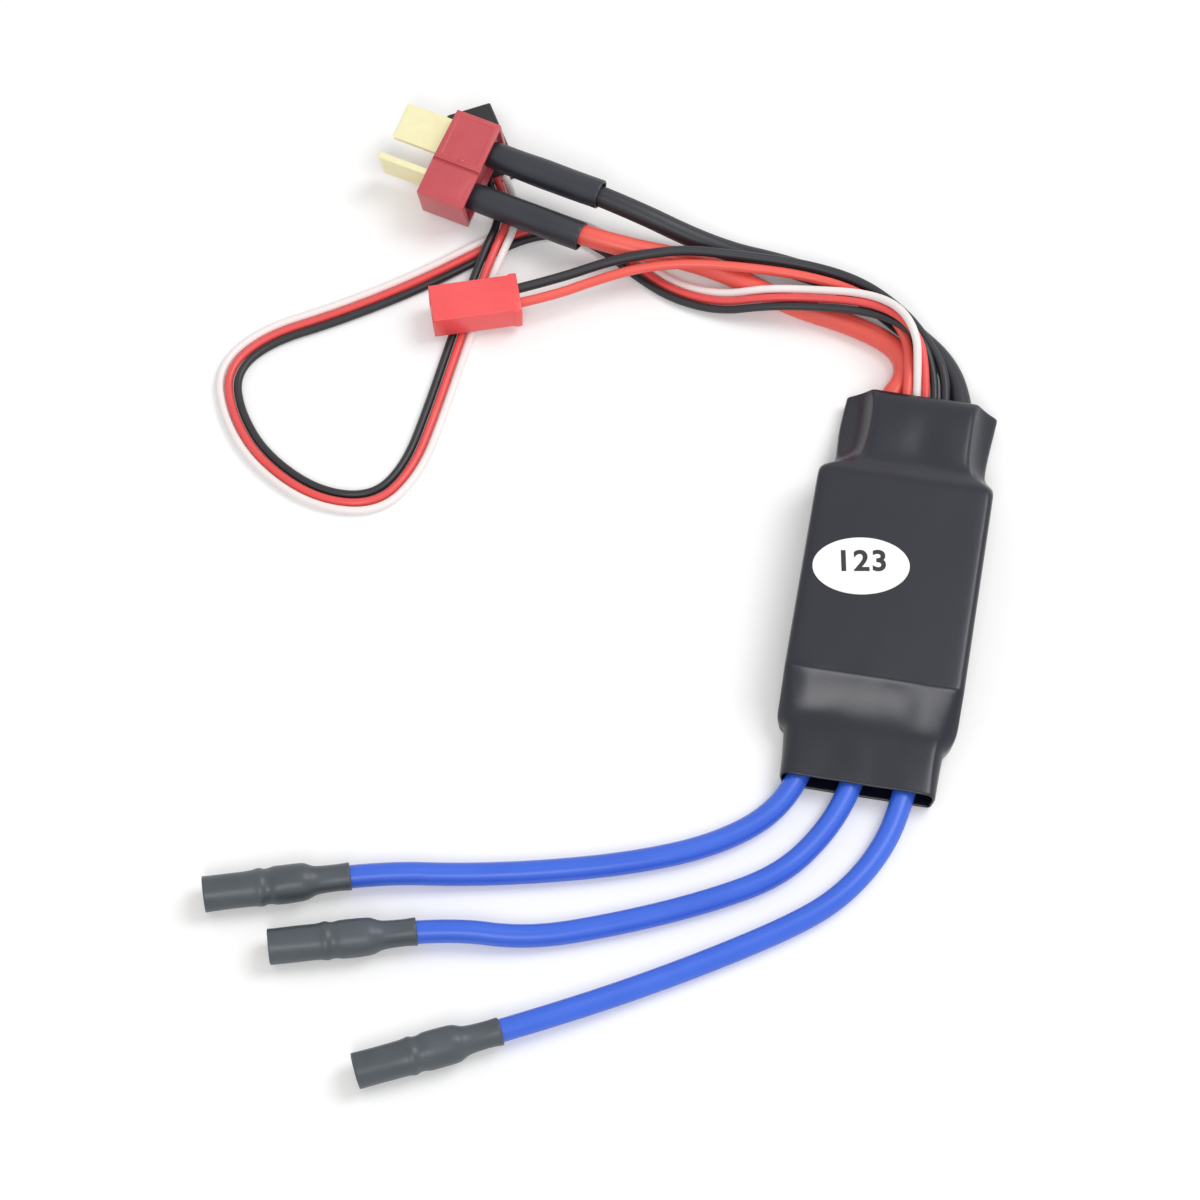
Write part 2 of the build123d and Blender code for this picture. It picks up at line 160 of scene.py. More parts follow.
# Each lamp: place in metres, size and power. The second one draws the gloss of the sloping end.
lamps = {"soft_lamp": ((0.42, 0.30, 0.80), 0.50, 3.9), "front_lamp": ((0.02, -0.62, 0.72), 0.30, 2.1)}
for name, (place, size, power) in lamps.items():
    lamp = bpy.data.objects.new(name, bpy.data.lights.new(name, "AREA"))
    bpy.context.scene.collection.objects.link(lamp)
    lamp.data.size = size
    lamp.data.energy = power
    lamp.location = place
    lamp.rotation_euler = (lamp.location - look_at).to_track_quat("Z", "Y").to_euler()

# %% Floor
only(None)
bpy.ops.mesh.primitive_plane_add(size=6.0, location=(0, 0, -0.00002))
floor = bpy.context.object
floor.name = "floor"
settle(floor)
floor_white = bpy.data.materials.new("floor_white")
floor_white.use_nodes = True
tree = floor_white.node_tree
tree.nodes.clear()
matt = node(tree, "ShaderNodeBsdfDiffuse", {"Color": (0.88, 0.88, 0.88, 1)})
glow = node(tree, "ShaderNodeEmission", {"Color": (1, 1, 1, 1), "Strength": 0.13})
direct = seen_directly(tree)
lit = node(tree, "ShaderNodeAddShader", {0: matt.outputs[0], 1: glow.outputs[0]})
near = node(tree, "ShaderNodeMixShader", {0: direct, 1: matt.outputs[0], 2: lit.outputs[0]})
# Far from the part the floor fades to plain white, so that no horizon shows.
spot = node(tree, "ShaderNodeTexCoord")
reach = node(tree, "ShaderNodeVectorMath", {0: spot.outputs["Object"]}, operation="LENGTH")
fade = node(tree, "ShaderNodeMapRange", {
    "Value": reach.outputs["Value"], "From Min": 0.16, "From Max": 0.55}, interpolation_type="SMOOTHSTEP")
far_share = node(tree, "ShaderNodeMath", {0: fade.outputs[0], 1: direct}, operation="MULTIPLY")
plain_white = node(tree, "ShaderNodeEmission", {"Color": (1, 1, 1, 1), "Strength": 1.0})
mixed = node(tree, "ShaderNodeMixShader", {
    0: far_share.outputs[0], 1: near.outputs[0], 2: plain_white.outputs[0]})
node(tree, "ShaderNodeOutputMaterial", {"Surface": mixed.outputs[0]})
floor.data.materials.append(floor_white)


# %% [markdown]
# ## Finishes
# Silicone, shrink, nylon and vinyl all show the same two things up close: a slow drift of tone and
# a fine grain. Each could be drawn in every material, but two shared groups keep them alike in
# kind and different in value: `mottle` drifts colour and gloss, `grain` gives a height.

# %% Colour as seen
def tone(red, green, blue):
    """Screen values from 0 to 255 as scene-linear colour."""
    linear = []
    for value in (red / 255, green / 255, blue / 255):
        linear.append(value / 12.92 if value <= 0.04045 else ((value + 0.055) / 1.055) ** 2.4)
    return (*linear, 1.0)


# %% Shared effects
def effect(name, numbers, colours, outputs):
    """An empty node group with named inputs and outputs."""
    group = bpy.data.node_groups.new(name, "ShaderNodeTree")
    for label, value in colours.items():
        made = group.interface.new_socket(label, in_out="INPUT", socket_type="NodeSocketColor")
        made.default_value = value
    for label, value in numbers.items():
        made = group.interface.new_socket(label, in_out="INPUT", socket_type="NodeSocketFloat")
        made.default_value = value
    for label, kind in outputs.items():
        group.interface.new_socket(label, in_out="OUTPUT", socket_type=kind)
    return group, group.nodes.new("NodeGroupInput"), group.nodes.new("NodeGroupOutput")


mottle, given, result = effect(
    "mottle", {"Scale": 60.0, "Gloss": 0.4, "Gloss drift": 0.08},
    {"Tone": (0.5, 0.5, 0.5, 1), "Worn tone": (0.6, 0.6, 0.6, 1)},
    {"Color": "NodeSocketColor", "Roughness": "NodeSocketFloat"})
place = node(mottle, "ShaderNodeTexCoord")
patches = node(mottle, "ShaderNodeTexNoise", {
    "Vector": place.outputs["Object"], "Scale": given.outputs["Scale"], "Detail": 4.0})
drift = node(mottle, "ShaderNodeMix", {
    0: patches.outputs[0], 6: given.outputs["Tone"], 7: given.outputs["Worn tone"]}, data_type="RGBA")
centred = node(mottle, "ShaderNodeMath", {0: patches.outputs[0], 1: 0.5}, operation="SUBTRACT")
swing = node(mottle, "ShaderNodeMath", {
    0: centred.outputs[0], 1: given.outputs["Gloss drift"]}, operation="MULTIPLY")
gloss = node(mottle, "ShaderNodeMath", {0: swing.outputs[0], 1: given.outputs["Gloss"]}, operation="ADD")
mottle.links.new(drift.outputs[2], result.inputs["Color"])
mottle.links.new(gloss.outputs[0], result.inputs["Roughness"])

grain, given, result = effect(
    "grain", {"Fine": 2500.0, "Broad": 160.0, "Broad share": 0.5}, {}, {"Height": "NodeSocketFloat"})
place = node(grain, "ShaderNodeTexCoord")
fine = node(grain, "ShaderNodeTexNoise", {
    "Vector": place.outputs["Object"], "Scale": given.outputs["Fine"], "Detail": 2.0})
broad = node(grain, "ShaderNodeTexNoise", {
    "Vector": place.outputs["Object"], "Scale": given.outputs["Broad"], "Detail": 3.0})
both = node(grain, "ShaderNodeMix", {
    0: given.outputs["Broad share"], 2: fine.outputs[0], 3: broad.outputs[0]}, data_type="FLOAT")
grain.links.new(both.outputs[0], result.inputs["Height"])


# %% A finish from its values
def finish(name, main, worn, gloss, drift_scale=60.0, fine=2500.0, broad=160.0, broad_share=0.5,
           bump=0.1, depth=0.00004, metal=0.0, specular=0.5, coat=0.0, through=0.0):
    """A material on the two shared effects; its constants sit on the shader itself."""
    material = bpy.data.materials.new(name)
    material.use_nodes = True
    tree = material.node_tree
    tree.nodes.clear()
    colour = node(tree, "ShaderNodeGroup", node_tree=mottle)
    colour.inputs["Tone"].default_value = main
    colour.inputs["Worn tone"].default_value = worn
    colour.inputs["Scale"].default_value = drift_scale
    colour.inputs["Gloss"].default_value = gloss
    relief = node(tree, "ShaderNodeGroup", node_tree=grain)
    relief.inputs["Fine"].default_value = fine
    relief.inputs["Broad"].default_value = broad
    relief.inputs["Broad share"].default_value = broad_share
    raised = node(tree, "ShaderNodeBump", {
        "Height": relief.outputs["Height"], "Strength": bump, "Distance": depth})
    shader = node(tree, "ShaderNodeBsdfPrincipled", {
        "Base Color": colour.outputs["Color"], "Roughness": colour.outputs["Roughness"],
        "Normal": raised.outputs["Normal"], "Metallic": metal,
        "Specular IOR Level": specular, "Coat Weight": coat, "Subsurface Weight": through,
        "Subsurface Scale": 0.001})
    node(tree, "ShaderNodeOutputMaterial", {"Surface": shader.outputs[0]})
    return material


# %% The plastics and rubbers
blue_silicone = finish("blue_silicone", tone(46, 92, 208), tone(62, 110, 226), 0.36, 90, bump=0.15)
black_silicone = finish("black_silicone", tone(26, 27, 33), tone(40, 41, 48), 0.45, 90, bump=0.15)
red_silicone = finish("red_silicone", tone(234, 84, 72), tone(244, 104, 92), 0.36, 90, bump=0.15)
white_vinyl = finish("white_vinyl", tone(238, 228, 226), tone(247, 240, 238), 0.4, 120)
red_vinyl = finish("red_vinyl", tone(228, 72, 72), tone(240, 92, 90), 0.34, 120)
black_vinyl = finish("black_vinyl", tone(24, 24, 29), tone(38, 38, 44), 0.4, 120)
jacket_shrink = finish("jacket_shrink", tone(9, 11, 24), tone(18, 21, 37), 0.31, 45,
                       fine=1600, broad=220, broad_share=0.7, bump=0.22, depth=0.00012)
sleeve_shrink = finish("sleeve_shrink", tone(54, 60, 66), tone(82, 90, 96), 0.40, 160,
                       fine=2200, broad=420, broad_share=0.6, bump=0.35, depth=0.00010)
battery_shrink = finish("battery_shrink", tone(28, 30, 38), tone(46, 49, 58), 0.40, 120,
                        fine=2200, broad=380, broad_share=0.6, bump=0.30, depth=0.00010)
red_nylon = finish("red_nylon", tone(186, 68, 76), tone(208, 92, 98), 0.32, 140,
                   fine=1800, broad=500, bump=0.25, depth=0.00006, through=0.15)
red_housing = finish("red_housing", tone(240, 76, 80), tone(248, 98, 98), 0.3, 140, bump=0.12)
black_housing = finish("black_housing", tone(20, 20, 24), tone(34, 34, 38), 0.36, 140, bump=0.15)
label_paper = finish("label_paper", tone(250, 250, 250), tone(244, 244, 242), 0.5, 200,
                     fine=5200, broad=900, broad_share=0.3, bump=0.12)
print_black = finish("print_black", tone(22, 22, 24), tone(38, 38, 40), 0.55, 900)
pad_rubber = finish("pad_rubber", tone(120, 128, 140), tone(136, 142, 150), 0.7, 220)
chip_plastic = finish("chip_plastic", tone(34, 34, 36), tone(48, 48, 50), 0.5, 300)
ceramic_tan = finish("ceramic_tan", tone(176, 146, 112), tone(190, 160, 124), 0.45, 600)
capacitor_yellow = finish("capacitor_yellow", tone(222, 178, 64), tone(232, 190, 84), 0.4, 260)
circuit_board = finish("circuit_board", tone(24, 74, 50), tone(30, 90, 60), 0.35, 320, coat=0.4)

# %% The metals
gold_plate = finish("gold_plate", tone(236, 214, 140), tone(246, 230, 172), 0.24, 500, metal=1.0,
                    fine=4200, broad=900, bump=0.08)
pale_gold = finish("pale_gold", tone(252, 248, 206), tone(240, 232, 180), 0.3, 700, metal=0.45,
                   fine=3800, broad=1200, bump=0.1)
tinned_metal = finish("tinned_metal", tone(205, 206, 208), tone(186, 188, 190), 0.3, 700, metal=1.0)
solder = finish("solder", tone(188, 190, 194), tone(164, 166, 172), 0.36, 900, metal=1.0, bump=0.3)
sink_aluminium = finish("sink_aluminium", tone(196, 198, 202), tone(178, 180, 186), 0.38, 200,
                        metal=1.0, fine=6000)

# %% [markdown]
# ## The leads
# Each lead is a fixed length of soft wire that lies where it was let go. A tube swept along straight
# runs and arcs looks like bent wire, so each one is a smooth curve drawn by its own control points:
# the same points that place the engineering tubes. Silicone leads are limp, the thin ones stiffer.

# %% Where the leads run
motor_wire_routes = {
    "a": [
        (-0.0083, -0.019, 0.00285), (-0.0084, -0.0258, 0.0025), (-0.0087, -0.0332, 0.0024),
        (-0.0124, -0.0405, 0.0018), (-0.0204, -0.0467, 0.0018), (-0.0312, -0.0513, 0.0018),
        (-0.0434, -0.0549, 0.0018), (-0.056, -0.0577, 0.0018), (-0.0679, -0.0599, 0.003),
        (-0.0779, -0.0631, 0.003),
    ],
    "b": [
        (-0.0004, -0.019, 0.00285), (-0.0005, -0.0258, 0.0025), (-0.0007, -0.033, 0.0024),
        (-0.0036, -0.0414, 0.0018), (-0.0093, -0.0496, 0.0018), (-0.0195, -0.0558, 0.0018),
        (-0.0318, -0.0615, 0.0018), (-0.0446, -0.0662, 0.0018), (-0.0564, -0.067, 0.003),
        (-0.0665, -0.07, 0.003),
    ],
    "c": [
        (0.0076, -0.019, 0.00285), (0.0075, -0.0258, 0.0025), (0.0072, -0.033, 0.0024),
        (0.0055, -0.0422, 0.0018), (0.0003, -0.0515, 0.0018), (-0.0076, -0.0584, 0.0018),
        (-0.0246, -0.0695, 0.0018), (-0.0416, -0.0796, 0.003), (-0.051, -0.0843, 0.003),
    ],
}
battery_wire_routes = {
    "black": [
        (0.0075, 0.0184, 0.00285), (0.0074, 0.0262, 0.0025), (0.0073, 0.0346, 0.0024),
        (0.0039, 0.0431, 0.0018), (-0.0032, 0.0486, 0.0018), (-0.0125, 0.0546, 0.0018),
        (-0.024, 0.0575, 0.0018), (-0.0365, 0.0582, 0.0024), (-0.05364, 0.06131, 0.00761),
        (-0.07013, 0.06542, 0.00761),
    ],
    "red": [
        (-0.0053, 0.0184, 0.00285), (-0.0052, 0.0231, 0.0026), (-0.0053, 0.0286, 0.00245),
        (-0.0052, 0.0343, 0.0024), (-0.0029, 0.039, 0.0019), (-0.0034, 0.043, 0.0018),
        (-0.0063, 0.0459, 0.0018), (-0.0135, 0.0484, 0.0018), (-0.023, 0.05, 0.0018),
        (-0.037, 0.0552, 0.0026), (-0.05549, 0.05391, 0.00599), (-0.07198, 0.05802, 0.00599),
    ],
}
supply_wire_routes = {
    "red": [
        (-0.0021, 0.0142, 0.0037), (-0.002, 0.0208, 0.0035), (-0.0021, 0.0276, 0.0034),
        (-0.002, 0.0343, 0.0038), (-0.0022, 0.0399, 0.0048), (-0.0035, 0.0455, 0.0046),
        (-0.0073, 0.0502, 0.0045), (-0.0136, 0.0532, 0.0045), (-0.0216, 0.0544, 0.0045),
        (-0.0308, 0.0537, 0.0054), (-0.0402, 0.0527, 0.0057), (-0.0478, 0.0508, 0.0052),
        (-0.0544, 0.0474, 0.0048), (-0.0606, 0.0433, 0.0049), (-0.0664, 0.0406, 0.005),
    ],
    "black": [
        (0.0044, 0.0142, 0.0037), (0.0043, 0.0208, 0.0035), (0.0044, 0.0276, 0.0032),
        (0.0043, 0.0346, 0.0031), (0.0033, 0.0404, 0.0046), (-0.0005, 0.0458, 0.0047),
        (-0.0049, 0.0505, 0.0046), (-0.0123, 0.0549, 0.0046), (-0.0214, 0.0564, 0.0047),
        (-0.031, 0.0556, 0.0057), (-0.0406, 0.0547, 0.0066), (-0.0472, 0.0526, 0.0066),
        (-0.053, 0.0508, 0.0055), (-0.0603, 0.0466, 0.005), (-0.0673, 0.0431, 0.005),
    ],
}
signal_route = [
    (0.0012, 0.0142, 0.0037, 0), (0.0011, 0.0208, 0.0036, 0), (0.0013, 0.0276, 0.0034, 0),
    (0.0011, 0.0342, 0.0036, 0), (0.0003, 0.0396, 0.0053, 25), (-0.0014, 0.0443, 0.0073, 65),
    (-0.0056, 0.048, 0.0075, 115), (-0.0113, 0.05, 0.0062, 155), (-0.0195, 0.0501, 0.0049, 170),
    (-0.027, 0.0493, 0.0043, 155), (-0.034, 0.0486, 0.0017, 168), (-0.0415, 0.0499, 0.00075, 180),
    (-0.048, 0.0532, 0.0007, 180), (-0.0535, 0.057, 0.0007, 180), (-0.0605, 0.0596, 0.0007, 180),
    (-0.0675, 0.0578, 0.0007, 180), (-0.0743, 0.0524, 0.0007, 180), (-0.0835, 0.0444, 0.0007, 180),
    (-0.095, 0.0363, 0.0007, 180), (-0.1055, 0.0302, 0.0007, 180), (-0.1102, 0.0229, 0.0007, 180),
    (-0.1075, 0.015, 0.0007, 180), (-0.1015, 0.0076, 0.0007, 180), (-0.0915, 0.0022, 0.0007, 180),
    (-0.0816, 0.0027, 0.0007, 180), (-0.0771, 0.0102, 0.0007, 180), (-0.0756, 0.0215, 0.0007, 180),
    (-0.0743, 0.0355, 0.0007, 180), (-0.0732, 0.045, 0.0008, 180), (-0.0719, 0.0518, 0.0025, 180),
    (-0.0708, 0.0569, 0.0025, 180), (-0.0717, 0.0619, 0.0013, 180), (-0.0742, 0.0662, 0.0013, 180),
]
power_wire_diameter = 0.0035
supply_wire_diameter = 0.0016
strand_diameter = 0.0013
strand_pitch = 0.00145


# %% One lead
def lead(name, points, diameter, slot, material):
    """A smooth round lead through its control points."""
    curve = bpy.data.curves.new(name, "CURVE")
    curve.dimensions = "3D"
    spline = curve.splines.new("NURBS")
    spline.points.add(len(points) - 1)
    for control, point in zip(spline.points, points):
        control.co = (*point, 1.0)
        control.radius = diameter / 2
    spline.order_u = 3
    spline.use_endpoint_u = True
    spline.resolution_u = 14
    curve.bevel_depth = 1.0
    curve.bevel_resolution = 5
    curve.use_fill_caps = True
    wire = bpy.data.objects.new(f"{name}_lead", curve)
    bpy.context.scene.collection.objects.link(wire)
    belongs(wire, slot, material, name)
    return wire


# %% Strands of the flat lead
def strand_points(offset):
    """The control points of one strand, set off across the flat lead."""
    middles = [Vector(point[:3]) for point in signal_route]
    last = len(middles) - 1
    points = []
    for i, (x, y, z, turn) in enumerate(signal_route):
        come = middles[max(i, 1)] - middles[max(i, 1) - 1]
        leave = middles[min(i + 1, last)] - middles[min(i, last - 1)]
        come = Vector((come.x, come.y, 0)).normalized()
        leave = Vector((leave.x, leave.y, 0)).normalized()
        along = (come + leave).normalized()
        miter = 1 / max(along.dot(come), 0.5)
        left = Vector((-along.y, along.x, 0))
        across = left * (cos(radians(turn)) * miter) + Vector((0, 0, sin(radians(turn))))
        points.append(tuple(middles[i] + across * offset))
    return points


strand_routes = {
    "white": strand_points(strand_pitch),
    "red": strand_points(0.0),
    "black": strand_points(-strand_pitch),
}

# %% Lay the leads
for phase, route in motor_wire_routes.items():
    lead(f"motor_wire_{phase}", route, power_wire_diameter, "blue_silicone", blue_silicone)
for colour, material in (("black", black_silicone), ("red", red_silicone)):
    route = battery_wire_routes[colour]
    lead(f"battery_wire_{colour}", route, power_wire_diameter, f"{colour}_silicone", material)
    route = supply_wire_routes[colour]
    lead(f"supply_wire_{colour}", route, supply_wire_diameter, f"{colour}_silicone", material)
for colour, slot, material in (("white", "white_pvc", white_vinyl), ("red", "red_silicone", red_vinyl),
                               ("black", "black_silicone", black_vinyl)):
    route = strand_routes[colour]
    lead(f"signal_strand_{colour}", route, strand_diameter, slot, material)

# %% [markdown]
# ## Parts that keep their engineering shape
# Boards, chips, metal contacts and the crimp housings are already true in shape, so they only take
# a finish. The table below is the one place that says which part is made of what.

# %% Finishes for the kept parts
kept_parts = {
    "heat_sink": sink_aluminium, "thermal_pad": pad_rubber, "power_board": circuit_board,
    "control_board": circuit_board, "board_header": chip_plastic, "phase_mosfets": chip_plastic,
    "microcontroller": chip_plastic, "voltage_regulators": chip_plastic,
    "ceramic_capacitors": ceramic_tan, "input_capacitors": capacitor_yellow,
    "power_solder_joints": solder, "signal_solder_joints": solder,
    "bullet_socket_a": gold_plate, "bullet_socket_b": gold_plate, "bullet_socket_c": gold_plate,
    "tee_plug_blade_flat": pale_gold, "tee_plug_blade_upright": pale_gold,
    "signal_plug_housing": black_housing, "signal_plug_terminals": tinned_metal,
    "supply_plug_terminals": tinned_metal, "rating_label": label_paper,
}
for name, material in kept_parts.items():
    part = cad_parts[name]
    part.data.materials.clear()
    part.data.materials.append(material)
print("kept parts with a finish:", len(kept_parts))

# %% [markdown]
# ## Working on faces
# Faces are chosen in code by where they are and which way they look, then an operator shapes them.

# %% Choosing and cutting
def edit(piece):
    """Go into edit mode on one piece, with faces to be chosen."""
    only(piece)
    bpy.ops.object.mode_set(mode="EDIT")
    bpy.context.tool_settings.mesh_select_mode = (False, False, True)


def choose(piece, test):
    """Select the faces whose middle and normal pass a test."""
    bpy.ops.mesh.select_all(action="DESELECT")
    shape = bmesh.from_edit_mesh(piece.data)
    shape.normal_update()
    for face in shape.faces:
        if test(face.calc_center_median(), face.normal):
            face.select_set(True)
    bmesh.update_edit_mesh(piece.data)


def cut(axis, places):
    """Cut edge loops straight across an axis at some places."""
    across = [0.0, 0.0, 0.0]
    across["xyz".index(axis)] = 1.0
    for where in places:
        bpy.ops.mesh.select_all(action="SELECT")
        bpy.ops.mesh.bisect(plane_co=[where * a for a in across], plane_no=across)


def soften(piece, width, segments=3):
    """Round a piece's edges with an applied bevel."""
    bevel = piece.modifiers.new("edges", "BEVEL")
    bevel.width = width
    bevel.segments = segments
    bevel.limit_method = "ANGLE"
    bevel.angle_limit = radians(35)
    apply_modifiers(piece)
    only(piece)
    bpy.ops.object.shade_smooth_by_angle(angle=radians(35))


def block(name, size):
    """A box of a size in its own frame, ready to be cut and inset."""
    only(None)
    bpy.ops.mesh.primitive_cube_add(size=1.0)
    piece = bpy.context.object
    piece.name = name
    edit(piece)
    bpy.ops.transform.resize(value=size)
    return piece


def put(piece, origin, along_x, along_z):
    """Turn a finished shape from its own frame into its place."""
    x_axis, z_axis = along_x.normalized(), along_z.normalized()
    y_axis = z_axis.cross(x_axis)
    turn = Matrix((x_axis, y_axis, z_axis)).transposed().to_4x4()
    only(piece)
    piece.matrix_world = Matrix.Translation(origin) @ turn
    settle(piece)


# %% Rings for shrunk tubes
def ring_tube(name, sides, stations, outline):
    """An open tube along Z whose rings follow outline(ring place, index of the point)."""
    only(None)
    low, high = stations[0], stations[-1]
    bpy.ops.mesh.primitive_cylinder_add(vertices=sides, radius=0.01, depth=high - low,
                                        end_fill_type="NOTHING", location=(0, 0, (low + high) / 2))
    piece = bpy.context.object
    piece.name = name
    settle(piece)
    edit(piece)
    cut("z", stations[1:-1])
    bpy.ops.object.mode_set(mode="OBJECT")
    for vertex in piece.data.vertices:
        place = min(stations, key=lambda station: abs(station - vertex.co.z))
        index = round(atan2(vertex.co.y, vertex.co.x) / (2 * pi / sides)) % sides
        vertex.co = (*outline(place, index), place)
    print(name, "has", len(stations), "rings of", sides)
    return piece


def thicken(piece, wall, levels):
    """Give a skin its wall, inwards, and smooth it."""
    solid = piece.modifiers.new("wall", "SOLIDIFY")
    solid.thickness = wall
    solid.offset = -1.0
    smooth = piece.modifiers.new("smooth", "SUBSURF")
    smooth.levels = levels
    smooth.render_levels = levels
    apply_modifiers(piece)


# %% [markdown]
# ## The heat-shrink jacket
# Shrink tube follows what is under it: flat over the heat sink, crisp at its ends, sloping down over
# the wires, and pulled to thin fins where its two layers almost meet. A box with bevels would look
# moulded, and a cloth simulation would not stay crisp. So a plain tube is cut into rings, and each
# ring is drawn to the section that the shrink has there.

# %% Sections of the jacket
jacket_low, jacket_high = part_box("heat_shrink_jacket")
block_half = jacket_high.x / MM
body_top = jacket_high.z / MM
half_length = jacket_high.y / MM
jacket_wall = 0.5 * MM
ring_points = 44
# Along Y in millimetres: left edge (x, z), left end of the top, top height, right end of the top,
# right edge (x, z), and how far the flanks bow out (+) or in (-), as a share of their length.
jacket_sections = [
    (-half_length, -11.8, 2.5, -10.8, 4.9, 10.8, 11.8, 2.5, 0.16),
    (-33.3, -11.85, 2.5, -10.8, 4.85, 10.8, 11.85, 2.5, 0.16),
    (-30.5, -12.0, 2.6, -10.6, 5.1, 10.6, 11.9, 2.6, 0.14),
    (-27.4, -12.3, 2.9, -10.6, 5.45, 10.6, 12.0, 2.9, 0.12),
    (-26.2, -12.4, 3.1, -10.7, 5.65, 10.7, 12.1, 3.1, 0.12),
    (-25.6, -12.6, 3.3, -10.9, 5.8, 10.8, 12.5, 3.3, 0.12),
    (-25.0, -block_half, 3.8, -11.2, 5.95, 11.0, 13.0, 3.6, 0.10),
    (-23.6, -block_half, 4.7, -11.5, 6.45, 11.4, block_half, 4.5, 0.10),
    (-21.2, -block_half, 6.1, -11.9, 7.75, 11.8, block_half, 6.1, 0.12),
    (-19.3, -block_half, 7.5, -12.3, 9.2, 12.2, block_half, 7.5, 0.16),
    (-18.5, -block_half, 8.4, -12.5, 9.9, 12.4, block_half, 8.2, 0.18),
    (-18.1, -block_half, 8.7, -12.6, body_top, 12.5, block_half, 8.5, 0.20),
    (-17.6, -block_half, 8.8, -12.7, body_top, 12.6, block_half, 8.6, 0.20),
    (15.8, -block_half, 8.8, -12.7, body_top, 12.7, block_half, 8.6, 0.20),
    (16.8, -13.7, 8.4, -12.4, 9.95, 12.5, block_half, 8.3, 0.20),
    (17.8, -13.6, 7.6, -11.6, 9.55, 12.0, 13.7, 7.7, 0.14),
    (18.9, -13.1, 6.5, -9.9, 8.95, 11.0, 13.5, 6.7, 0.06),
    (20.0, -12.1, 5.4, -8.2, 8.35, 9.9, 12.9, 5.7, 0.0),
    (21.2, -11.6, 4.6, -7.2, 8.05, 9.2, 12.2, 4.9, -0.06),
    (23.5, -11.7, 3.7, -6.8, 8.0, 9.0, 12.1, 4.1, -0.10),
    (27.5, -11.9, 3.2, -6.6, 8.0, 9.0, 12.3, 3.5, -0.12),
    (30.8, -11.7, 2.9, -6.8, 7.9, 9.0, 12.6, 3.1, -0.12),
    (32.4, -11.6, 2.8, -7.0, 7.6, 9.1, 12.7, 3.0, -0.10),
    (33.4, -11.5, 2.75, -7.2, 7.1, 9.2, 12.8, 2.9, -0.06),
    (half_length, -11.5, 2.7, -7.5, 6.6, 9.3, 12.8, 2.8, -0.04),
]
ring_steps = [3, 6, 12, 6, 3, 14]
ring_spacing = 2.8


def section_at(y):
    """The section's numbers at one place along the body."""
    for before, after in zip(jacket_sections, jacket_sections[1:]):
        if before[0] <= y <= after[0]:
            share = (y - before[0]) / (after[0] - before[0])
            return [b + (a - b) * share for b, a in zip(before, after)]
    return list(jacket_sections[-1])


def rise(x, y, middle_x, middle_y, spread, height):
    """A soft rounded bump, such as a component makes under the shrink."""
    return height * exp(-((x - middle_x) ** 2 + (y - middle_y) ** 2) / (2 * spread ** 2))


def relief(x, y, top):
    """How far the shrink stands above or below its plain section."""
    lift = rise(x, y, -9.6, -20.3, 1.6, 0.48) + rise(x, y, 8.8, -21.8, 1.5, 0.46)
    lift += rise(x, y, -1.5, -21.0, 2.4, 0.16)
    for wire_x in (-8.5, -0.6, 7.4):
        if y < -23:
            lift += 0.07 * exp(-((x - wire_x) / 1.7) ** 2) * min(1.0, (-23 - y) / 4)
    lift += rise(x, y, -3.0, 27.5, 2.6, 0.12) + rise(x, y, 5.6, 25.2, 1.8, 0.16)
    lift += rise(x, y, 7.4, 22.3, 1.0, 0.22) - rise(x, y, 1.5, 22.2, 2.4, 0.25)
    wrinkle = noise.noise(Vector((x * 0.28, y * 0.22, top))) * 0.12
    return lift + (wrinkle if top < body_top - 0.3 else -abs(wrinkle) * 0.4)


def jacket_outline(place, index):
    """The X and Z of one point of the ring at a place along the body, in metres."""
    y, left_x, left_z, left_top, top, right_top, right_x, right_z, bow = section_at(place / MM)
    lowest = 0.03
    corners = [(right_x - 0.5, lowest), (right_x, right_z), (right_top, top), (left_top, top),
               (left_x, left_z), (left_x + 0.5, lowest)]
    for side, steps in enumerate(ring_steps):
        if index < steps:
            break
        index -= steps
    share = index / steps
    start, end = corners[side], corners[(side + 1) % len(corners)]
    run = (end[0] - start[0], end[1] - start[1])
    x, z = start[0] + run[0] * share, start[1] + run[1] * share
    if side in (1, 3):
        x += run[1] * bow * sin(pi * share)
        z -= run[0] * bow * sin(pi * share)
    if side in (1, 2, 3):
        z += relief(x, y, top) * (1.0 if side == 2 else sin(pi * min(share, 0.5)))
    return x * MM, z * MM


# %% Shape the jacket
stations = [jacket_sections[0][0]]
for section in jacket_sections[1:]:
    gap = section[0] - stations[-1]
    parts = max(1, round(gap / ring_spacing))
    start = stations[-1]
    stations += [start + gap * (i + 1) / parts for i in range(parts)]
jacket = ring_tube("shrink_jacket", ring_points, [s * MM for s in stations], jacket_outline)
# The tube was cut along Z: its rings now turn to stand along Y, with their second number up.
only(jacket)
jacket.matrix_world = Matrix(((1, 0, 0, 0), (0, 0, 1, 0), (0, 1, 0, 0), (0, 0, 0, 1)))
settle(jacket)
edit(jacket)
bpy.ops.mesh.select_all(action="SELECT")
bpy.ops.mesh.normals_make_consistent(inside=False)
bpy.ops.object.mode_set(mode="OBJECT")
thicken(jacket, jacket_wall, 2)
belongs(jacket, "jacket_shrink", jacket_shrink, "heat_shrink_jacket")

# %% [markdown]
# ## The number on the label
# The oval label carries a plain number. Blender's own letters are made a mesh, so that they can be
# laid on the paper and stay where they are.

